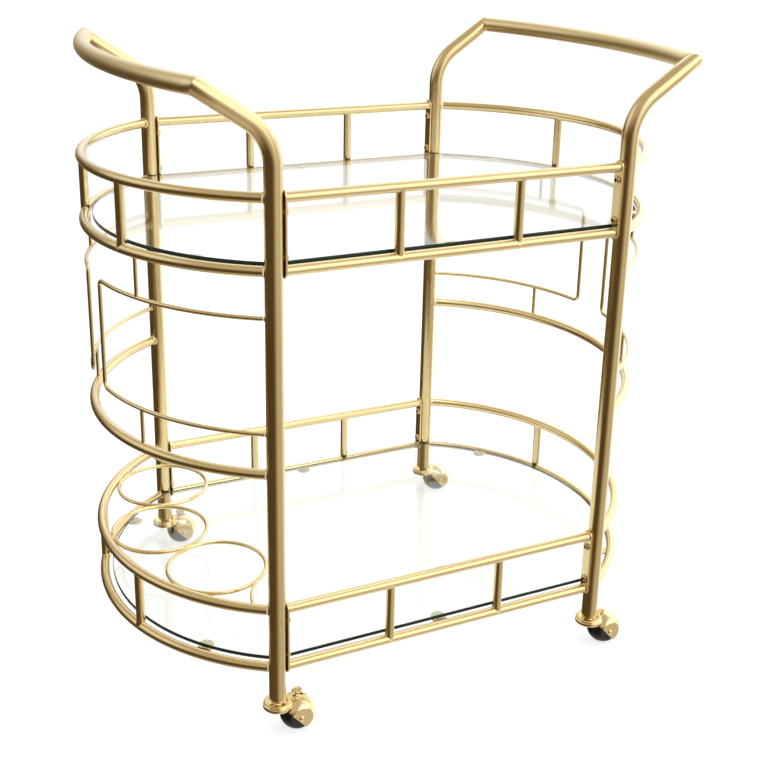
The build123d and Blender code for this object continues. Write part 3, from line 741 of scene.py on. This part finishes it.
padParts = []
for tier, (shelf, _) in tiers.items():
    makeGlass(tier)
    lugParts = []
    for spot, inward in lugSpots(shelf):
        beside = np.cross(up, inward)

        def place(points, spot=spot, inward=inward, beside=beside):
            x, y = points[..., 0:1], points[..., 1:2]
            centre = lug["length"] - lug["width"] / 2
            # pressed in under the pad
            dish = lug["dishDepth"] * np.exp(-((x - centre) ** 2 + y ** 2) / pad["radius"] ** 2)
            z = lug["top"] - lug["thickness"] + points[..., 2:3] - dish
            return spot + x * inward + y * beside + z * up

        lugParts.append(plate(lugOutline(), lug["thickness"], lug["rounding"], place))
        reach = lug["length"] - lug["width"] / 2
        base = spot + reach * inward + (lug["top"] - 0.0004) * up
        r, h = pad["radius"], pad["height"] + 0.0003
        padParts.append(turned([(0, pad["stem"]), (0, r * 0.9), (0.2 * h, r), (0.7 * h, r), (h, r * 0.93),
                                (h, r * 0.5), (0.72 * h, r * 0.42), (0.72 * h, r * 0.05)], base, around=32))
        padParts.append(turned([(-lug["thickness"], pad["stem"] * 0.9), (0, pad["stem"])], base, around=16))
    goldPiece(tier + "_lug_tongues", lugParts, tier + "_glass_lugs")
makePiece("glass_pad_discs", padParts, [clearPad], "frame", ["glass_pads"])
print("shelves made")

# bottle rings

ring = {"wire": 0.00275, "linkWire": 0.0025, "linkAngle": math.radians(53), "linkEndY": 0.243,
        "linkBulge": 0.006, "bead": (0.0062, 0.0019, 0.0019)}
ringLow, ringHigh = boxOf("middle_bottle_ring")
ringRadius = (ringHigh[1] - ringLow[1]) / 2 - ring["wire"]
ringStep = 2 * ringRadius + 2 * ring["wire"] - 0.0005
ringCircle = endRadius - railRadius - ringRadius - ring["wire"] + 0.0005
ringTurn = 2 * math.asin(ringStep / 2 / ringCircle)
ringSpot = {side: np.array([-endCentre - ringCircle * math.cos(turn), ringCircle * math.sin(turn),
                            railZ["bottom_guard"]])
            for side, turn in (("front", -ringTurn), ("middle", 0.0), ("back", ringTurn))}
for side, spot in ringSpot.items():
    turn = fullTurn(96)
    circle = spot + ringRadius * np.stack([np.cos(turn), np.sin(turn), 0 * turn], -1)
    parts = [tube(circle, (0, 0, 1), ring["wire"], around=20, wrap=True)]
    outward = unit(spot - [-endCentre, 0, spot[2]])
    touch = spot + (ringRadius + ring["wire"]) * outward
    for z in (-0.0016, 0.0016):
        parts.append(bead(touch + z * up, np.cross(up, outward), ring["bead"]))
    if side != "middle":
        toMiddle = unit(ringSpot["middle"] - spot)
        parts.append(bead(spot + (ringRadius + ring["wire"]) * toMiddle + 0.0014 * up,
                          np.cross(up, toMiddle), ring["bead"]))
    goldPiece(side + "_ring_rod", parts, side + "_bottle_ring")

linkParts = []
for side, sy in sides.items():
    leave = np.array([math.cos(ring["linkAngle"]), sy * math.sin(ring["linkAngle"]), 0])
    start = ringSpot[side] + ringRadius * leave
    stop = onEndArc(sy * ring["linkEndY"], -1, railZ["bottom_guard"])
    across = unit(stop - start)
    outward = -sy * np.array([across[1], -across[0], 0])
    share = np.linspace(0, 1, 21)[:, None]
    path = start + share * (stop - start) + 4 * ring["linkBulge"] * share * (1 - share) * outward
    linkParts.append(tube(path, (0, 0, 1), ring["linkWire"], around=20))
    linkParts.append(bead(start + 0.001 * up, np.cross(up, leave), ring["bead"]))
    joinPoint = onEndArc(sy * (ring["linkEndY"] - 0.003), -1, railZ["bottom_guard"], railRadius)
    linkParts.append(bead(joinPoint, barDirection(sy * ring["linkEndY"], -1), ring["bead"]))
goldPiece("ring_link_rods", linkParts, "bottle_ring_links")
print("bottle rings made")

# casters: each is made round its post's axis and trails towards +X

hood = {"clearance": 0.0005, "wall": 0.0013, "below": 0.005, "tilt": math.radians(41),
        "wheelHalf": 0.017, "split": 0.0044, "cheekGap": 0.0007, "cheekWall": 0.0016,
        "hub": 0.0055, "axle": 0.0025, "slotHalf": 0.0017, "slotBack": 0.005,
        "slotFront": 0.009, "earWidth": 0.0016, "earRadius": 0.0025, "pivotRise": 0.0266}
ballRadius = math.hypot(axleZ, hood["split"] / 2)
roomRadius = ballRadius + hood["clearance"]
hoodRadius = roomRadius + hood["wall"]
cheekIn = hood["wheelHalf"] + hood["cheekGap"]
cheekOut = cheekIn + hood["cheekWall"]


def hoodProfile(radius, cheek, soften):
    # from the middle of one cheek out to its edge, over the ball and back to the other cheek's middle
    edge = math.sqrt(radius ** 2 - cheek ** 2)
    flat = np.array([0.0, 0.0025, 0.005, 0.0068, 0.0090, 0.0112, 0.0129])
    share = np.linspace(0, 1, 6)[:, None]
    ballY = cheek - soften
    onBall = math.sqrt(radius ** 2 - ballY ** 2)
    creaseLine = np.array([[cheek, edge - 1.2 * soften], [cheek, edge], [ballY, onBall]])
    crease = quadCurve(*creaseLine, share)
    inward = np.linspace(ballY, hood["slotHalf"], 20)[1:]
    ball = np.stack([inward, np.sqrt(radius ** 2 - inward ** 2)], -1)
    half = np.concatenate([np.stack([np.full(7, cheek), flat], -1), crease, ball])
    return np.concatenate([half, (half * [-1, 1])[::-1]])


def hoodSheet(profile, columns):
    # the profile turned about the axle, as far round as the sloping rim allows
    y, r = profile.T
    rim = np.clip(-hood["below"] / np.maximum(r, 1e-9), -1, 1)
    reach = np.where(r > hood["below"], np.arccos(rim), np.pi)
    turn = hood["tilt"] + columns[None] * reach[:, None]
    return np.stack([trail + r[:, None] * np.cos(turn), np.broadcast_to(y[:, None], turn.shape),
                     axleZ + r[:, None] * np.sin(turn)], -1)


def hoodShell(braked):
    outer, inner = hoodProfile(hoodRadius, cheekOut, 0.0007), hoodProfile(roomRadius, cheekIn, 0.0004)
    reach = math.acos(-hood["below"] / hoodRadius)
    slotEnds = [(math.acos(x / hoodRadius) - hood["tilt"]) / reach
                for x in (hood["slotFront"], -hood["slotBack"])]
    columns = np.sort(np.append(np.linspace(-1, 1, 73), slotEnds))
    rows, count = len(outer), len(columns)
    middle = rows // 2 - 1                       # the cell between the two rows beside the middle
    first, last = (int(np.argmin(abs(columns - edge))) for edge in slotEnds)
    skip = np.zeros((rows, count), bool)
    if braked:
        skip[middle, first:last] = True
    outerGrid, innerGrid = hoodSheet(outer, columns), hoodSheet(inner, columns)
    shell = [gridSurface(outerGrid, wrapColumns=False, caps=False, skip=skip),
             gridSurface(innerGrid, wrapColumns=False, caps=False, skip=skip, flip=True)]
    openRows = np.arange(rows)[outer[:, 1] >= hood["below"] - 1e-9]
    for column, flip in ((0, False), (count - 1, True)):
        for run in np.split(openRows, np.where(np.diff(openRows) > 1)[0] + 1):
            strip = np.stack([outerGrid[run, column], innerGrid[run, column]], 1)
            shell.append(gridSurface(strip, wrapColumns=False, caps=False, flip=flip))
    if braked:
        walls = [((middle, slice(first, last + 1)), True), ((middle + 1, slice(first, last + 1)), False),
                 ((slice(middle, middle + 2), first), False), ((slice(middle, middle + 2), last), True)]
        for edge, flip in walls:
            strip = np.stack([outerGrid[edge], innerGrid[edge]], 1)
            shell.append(gridSurface(strip, wrapColumns=False, caps=False, flip=flip))
    return shell


def collarRing():
    # a stepped ring turned about the stem, its cup open to the post; where it would stand in the
    # wheel's room it is pushed out to lie in the hood's wall
    z, mm = footZ, 0.001
    profile = [(-10.0, 4.05), (-10.0, 18.2), (-9.7, 19.1), (-9.0, 19.5), (-6.6, 19.5), (-5.9, 19.25),
               (-5.5, 18.6), (-5.3, 17.5), (-4.9, 17.1), (-4.5, 17.2), (-4.1, 17.55), (-3.5, 17.75),
               (-2.9, 17.6), (-2.4, 17.1), (-2.1, 16.3), (-2.0, 15.2), (-2.05, 14.1), (-2.3, 13.2),
               (-2.8, 12.6), (-3.4, 12.5), (-5.6, 12.5), (-5.9, 12.3), (-6.0, 11.9), (-6.0, 4.05)]
    ringGrid = turned([(z + a * mm, b * mm) for a, b in profile], (0, 0, 0), around=96, loop=True)
    wheelCentre = np.array([trail, 0, axleZ])
    offset = ringGrid["points"] - wheelCentre
    distance = np.linalg.norm(offset, axis=1, keepdims=True)
    kept = (roomRadius + hoodRadius) / 2
    ringGrid["points"] = wheelCentre + offset * np.maximum(1, kept / distance)
    return ringGrid


def ear(start):
    # a small round-topped lug standing on the crown, beside the lever
    turn = np.linspace(0, np.pi, 17)
    top = np.stack([hood["earRadius"] * np.cos(turn), hood["earRadius"] * np.sin(turn)], -1)
    outline = np.concatenate([top, [[-hood["earRadius"], -0.0042], [hood["earRadius"], -0.0042]]])

    def place(points):
        return np.stack([trail + points[..., 0], start + hood["earWidth"] - points[..., 2],
                         axleZ + hood["pivotRise"] + points[..., 1]], -1)

    return plate(outline, hood["earWidth"], 0.00035, place)


def wheelSurface():
    # two half balls on a hub, with softened rims, turned about the axle
    half, gap, soft = hood["wheelHalf"], hood["split"] / 2, 0.0006
    y = np.linspace(gap + soft, half - soft, 22)
    ball = np.stack([y, np.sqrt(ballRadius ** 2 - y ** 2)], -1)
    rimIn = [(gap, hood["hub"]), (gap, axleZ - 0.0012), (gap + 0.0001, axleZ - 0.0004),
             (gap + 0.0003, axleZ - 0.0001)]
    outer = ball[-1]
    rimOut = [(half - 0.0002, outer[1] - 0.0006), (half, outer[1] - 0.0014), (half, 0.0098),
              (half - 0.0005, 0.0092), (half - 0.0005, 0.0062), (half, 0.0056),
              (half, hood["axle"] + 0.00005)]
    right = np.concatenate([rimIn, ball, rimOut])
    profile = np.concatenate([(right * [-1, 1])[::-1], right])
    return turned(profile, (trail, 0, axleZ), axis="y", around=96, loop=True)


def axleSurface():
    # a pin with a ringed, domed head on each cheek
    tip = [(0.0, 0.0040), (0.00045, 0.00398), (0.00085, 0.0036), (0.00102, 0.0030), (0.00098, 0.0026),
           (0.0008, 0.0023), (0.0011, 0.0019), (0.00128, 0.0012), (0.0013, 0.0002)]
    pin = [(cheekIn, hood["axle"]), (cheekOut, hood["axle"])]
    right = np.concatenate([pin, np.array(tip) + [cheekOut, 0]])
    profile = np.concatenate([(right * [-1, 1])[::-1], right])
    return turned(profile, (trail, 0, axleZ), axis="y", around=48)


lever = {"half": 0.0013, "boss": 0.0022, "shoe": (0.0115, 0.0040), "shoeRadius": 0.0020,
         "trunnion": 0.0012, "tabWidth": 0.014, "tabHeight": 0.011, "tabTop": 0.0095, "tabHalf": 0.0012}


def leverParts():
    # an arm in the wheel's gap from pivot to shoe, trunnions through the ears, and a thumb tab on top
    pivot = np.array([0.0, hood["pivotRise"]])
    shoe = np.array(lever["shoe"])
    line = shoe - pivot
    lean = math.atan2(line[1], line[0])
    tilt = math.acos((lever["boss"] - lever["shoeRadius"]) / np.linalg.norm(line))
    big = np.linspace(lean + tilt, lean + 2 * np.pi - tilt, 25)
    small = np.linspace(lean - tilt, lean + tilt, 17)
    outline = np.concatenate([pivot + lever["boss"] * np.stack([np.cos(big), np.sin(big)], -1),
                              shoe + lever["shoeRadius"] * np.stack([np.cos(small), np.sin(small)], -1)])

    def placeArm(points):
        return np.stack([trail + points[..., 0], lever["half"] - points[..., 2], axleZ + points[..., 1]], -1)

    parts = [plate(outline, 2 * lever["half"], 0.0003, placeArm)]
    y = np.linspace(-hood["slotHalf"] - hood["earWidth"], hood["slotHalf"] + hood["earWidth"], 5)
    pin = np.stack([np.full(5, trail), y, np.full(5, axleZ + hood["pivotRise"])], -1)
    parts.append(tube(pin, (0, 0, 1), lever["trunnion"], around=24))
    # the tab: a rounded tongue standing in the wheel's plane
    tongue = stadium(lever["tabHeight"], lever["tabWidth"])[:, ::-1] * [-1, 1]
    middle = axleZ + hood["pivotRise"] + lever["tabTop"] - lever["tabHeight"] / 2

    def placeTab(points):
        return np.stack([trail + points[..., 0], lever["tabHalf"] - points[..., 2],
                         middle + points[..., 1]], -1)

    parts.append(plate(tongue, 2 * lever["tabHalf"], 0.0005, placeTab))
    return parts


def moved(parts, shift):
    return [{**part, "points": part["points"] + shift} for part in parts]


stem = {"drop": 0.01035, "radius": 0.004, "headRadius": 0.0055, "top": 0.014, "nutHalf": 0.0065,
        "nutFace": 0.0061, "nutChamfer": 0.0070, "nutLow": 0.00565, "nutHigh": 0.0001}
stemHead = footZ - stem["drop"]
stemProfile = [(stemHead - 0.0012, stem["headRadius"] - 0.0004), (stemHead - 0.0009, stem["headRadius"]),
               (stemHead - 0.0002, stem["headRadius"]), (stemHead, stem["headRadius"] - 0.0003),
               (stemHead, stem["radius"]), (footZ + stem["top"] - 0.001, stem["radius"]),
               (footZ + stem["top"], stem["radius"] - 0.0008)]


def hexNut():
    # six flats, with both ends turned down to a round face
    turn = fullTurn(48)
    flats = stem["nutHalf"] / np.cos(turn % (np.pi / 3) - np.pi / 6)
    chamfered, face = np.minimum(flats, stem["nutChamfer"]), np.full(48, stem["nutFace"])
    low, high = footZ - stem["nutLow"], footZ - stem["nutHigh"]
    heights = np.array([low, low + 0.0003, low + 0.0008, high - 0.0008, high - 0.0003, high])
    r = np.array([face, chamfered, flats, flats, chamfered, face])
    return np.stack([r * np.cos(turn), r * np.sin(turn), heights[:, None] * np.ones(48)], -1)


nutGrid = hexNut()
stemParts, nutParts = [], []
for corner, sx, sy in corners:
    shift = np.array([sx * postX, sy * postY, 0])
    braked = corner + "_brake" in frame["bodies"]
    shell = hoodShell(braked) + [collarRing()]
    if braked:
        shell += [ear(hood["slotHalf"]), ear(-hood["slotHalf"] - hood["earWidth"])]
    makePiece(corner + "_hood_shell", moved(shell, shift), [casterBrass], corner + "_caster",
              [corner + "_caster_hood"], sharp=32, weld=True)
    makePiece(corner + "_axle_pin", moved([axleSurface()], shift), [casterBrass], corner + "_caster",
              [corner + "_caster_axle"], sharp=32)
    makePiece(corner + "_ball_wheel", moved([wheelSurface()], shift), [wheelBlack], corner + "_wheel",
              [corner + "_caster_wheel"], sharp=32)
    if braked:
        makePiece(corner + "_thumb_lever", moved(leverParts(), shift), [casterBrass], corner + "_brake",
                  [corner + "_brake_lever"])
    stemParts.append(turned(stemProfile, shift, around=40))
    nutParts.append(gridSurface(nutGrid + shift))
makePiece("stem_pins", stemParts, [insertSteel], "frame", ["caster_stems"], sharp=30)
makePiece("stem_hex_nuts", nutParts, [casterBrass], "frame", ["stem_nuts"], sharp=25)
frame["nodes"]["foot_inserts"].data.materials.clear()
frame["nodes"]["foot_inserts"].data.materials.append(insertSteel)
print("casters made")

# floor, light and camera

camera = {"azimuth": math.radians(-25.4), "elevation": math.radians(18.59), "roll": math.radians(0.97),
          "place": (-0.700, -1.474, 1.015), "lens": 56.2, "shiftX": 0.0218, "shiftY": -0.10}
studio = {"floor": (0.35, 0.35, 0.35, 1), "glow": 0.76, "floorRadius": 40.0, "floorDrop": 0.0003,
          "backdrop": 1.0, "fill": 0.09, "dusk": (1.0, 0.67, 0.33, 1)}


def seenDirectly(tree):
    # 1 for what the camera sees, also through glass, and 0 for what lights or is mirrored in a surface
    path = addNode(tree, "ShaderNodeLightPath")
    return addNode(tree, "ShaderNodeMath", [(path, "Is Camera Ray", 0), (path, "Is Transmission Ray", 1)],
                   operation="MAXIMUM")


def makeFloor():
    turn = fullTurn(64)
    ringPoints = np.stack([np.cos(turn), np.sin(turn), 0 * turn], -1) * studio["floorRadius"]
    ringPoints -= [0, 0, studio["floorDrop"]]   # just under the wheels
    mesh = bpy.data.meshes.new("studioFloor")
    mesh.from_pydata(ringPoints.tolist(), [], [list(range(64))])
    floor = bpy.data.objects.new("studioFloor", mesh)
    bpy.context.scene.collection.objects.link(floor)
    material, tree, shader = newMaterial("floorPaper")
    shader.inputs["Base Color"].default_value = studio["floor"]
    shader.inputs["Roughness"].default_value = 0.9
    shader.inputs["Specular IOR Level"].default_value = 0.1
    shader.inputs["Emission Color"].default_value = (1, 1, 1, 1)
    glow = addNode(tree, "ShaderNodeMath", [(seenDirectly(tree), "Value", 0)], operation="MULTIPLY")
    glow.inputs[1].default_value = studio["glow"]
    tree.links.new(glow.outputs["Value"], shader.inputs["Emission Strength"])
    mesh.materials.append(material)
    floor.visible_glossy = False                # metal mirrors the room's lower half instead


def makeCamera():
    a, e, r = camera["azimuth"], camera["elevation"], camera["roll"]
    back = np.array([math.sin(a) * math.cos(e), -math.cos(a) * math.cos(e), math.sin(e)])
    right = np.array([math.cos(a), math.sin(a), 0])
    over = np.cross(back, right)
    right, over = right * math.cos(r) + over * math.sin(r), over * math.cos(r) - right * math.sin(r)
    turn = Matrix([list(row) for row in np.stack([right, over, back], 1)]).to_4x4()
    data = bpy.data.cameras.new("cartCamera")
    data.lens, data.sensor_width = camera["lens"], 36.0
    data.shift_x, data.shift_y = camera["shiftX"], camera["shiftY"]
    data.clip_end = 200
    eye = bpy.data.objects.new("cartCamera", data)
    bpy.context.scene.collection.objects.link(eye)
    eye.matrix_world = Matrix.Translation(camera["place"]) @ turn
    bpy.context.scene.camera = eye


def addSoftbox(name, place, target, size, power):
    data = bpy.data.lights.new(name, "AREA")
    data.shape, data.size, data.size_y, data.energy = "RECTANGLE", size[0], size[1], power
    lamp = bpy.data.objects.new(name, data)
    bpy.context.scene.collection.objects.link(lamp)
    lamp.location = place
    lamp.visible_glossy = False
    lamp.rotation_euler = (Vector(target) - Vector(place)).to_track_quat("-Z", "Y").to_euler()


def makeWorld():
    # a white backdrop to look at, and a dim warm room with pale soft patches to mirror and to light
    world = bpy.data.worlds.new("studioRoom")
    bpy.context.scene.world = world
    world.use_nodes = True
    tree = world.node_tree
    spot = addNode(tree, "ShaderNodeTexCoord")
    toCamera = np.array([math.sin(camera["azimuth"]), -math.cos(camera["azimuth"]), 0])
    toRight = np.array([math.cos(camera["azimuth"]), math.sin(camera["azimuth"]), 0])
    patches = [                                 # middle, cosines at its rim and its full part, strength
        (0.60 * toCamera + 0.75 * toRight + 0.42 * up, 0.80, 0.92, 0.75),
        (0.95 * toRight - 0.05 * toCamera - 0.25 * up, -0.10, 0.70, 0.52),
        (up, -0.05, 0.50, 0.50),
        (-1.00 * toCamera + 0.55 * toRight + 0.15 * up, 0.35, 0.85, 0.80),
        (0.38 * up - toRight, 0.86, 0.95, 0.45),
        (-up, 0.60, 0.90, 0.42)]
    total = addNode(tree, "ShaderNodeValue")
    total.outputs[0].default_value = studio["fill"]
    for middle, rim, full, strength in patches:
        facing = addNode(tree, "ShaderNodeVectorMath", [(spot, "Generated", 0)], operation="DOT_PRODUCT")
        facing.inputs[1].default_value = unit(middle).tolist()
        patch = addNode(tree, "ShaderNodeMapRange", [(facing, "Value", "Value")],
                        interpolation_type="SMOOTHSTEP")
        for label, value in (("From Min", rim), ("From Max", full), ("To Min", 0.0), ("To Max", strength)):
            patch.inputs[label].default_value = value
        total = addNode(tree, "ShaderNodeMath", [(total, "Value", 0), (patch, "Result", 1)],
                        operation="ADD")
    warmth = addNode(tree, "ShaderNodeMapRange", [(total, "Value", "Value")], From_Min=0.1, From_Max=0.8)
    tint = addNode(tree, "ShaderNodeMix", data_type="RGBA")
    tree.links.new(warmth.outputs["Result"], tint.inputs[0])
    tint.inputs[6].default_value = studio["dusk"]
    white = (1, 1, 1, 1)
    tint.inputs[7].default_value = white
    seen = seenDirectly(tree)
    pick = []
    backdrop = (studio["backdrop"],) * 3 + (1,)
    for dim, bright in ((tint.outputs[2], white), (total.outputs[0], backdrop)):
        mix = addNode(tree, "ShaderNodeMix", data_type="RGBA")
        tree.links.new(seen.outputs[0], mix.inputs[0])
        tree.links.new(dim, mix.inputs[6])
        mix.inputs[7].default_value = bright
        pick.append(mix)
    ground = tree.nodes["Background"]
    tree.links.new(pick[0].outputs[2], ground.inputs["Color"])
    tree.links.new(pick[1].outputs[2], ground.inputs["Strength"])


makeFloor()
makeCamera()
makeWorld()
addSoftbox("topBox", (0.5, -0.4, 3.0), (0, 0, 0.4), (2.2, 2.2), 30)
addSoftbox("rightBox", (2.2, -2.0, 1.5), (0, 0, 0.5), (1.2, 1.6), 12)
bpy.context.scene.view_settings.view_transform = "Standard"
print("studio made")
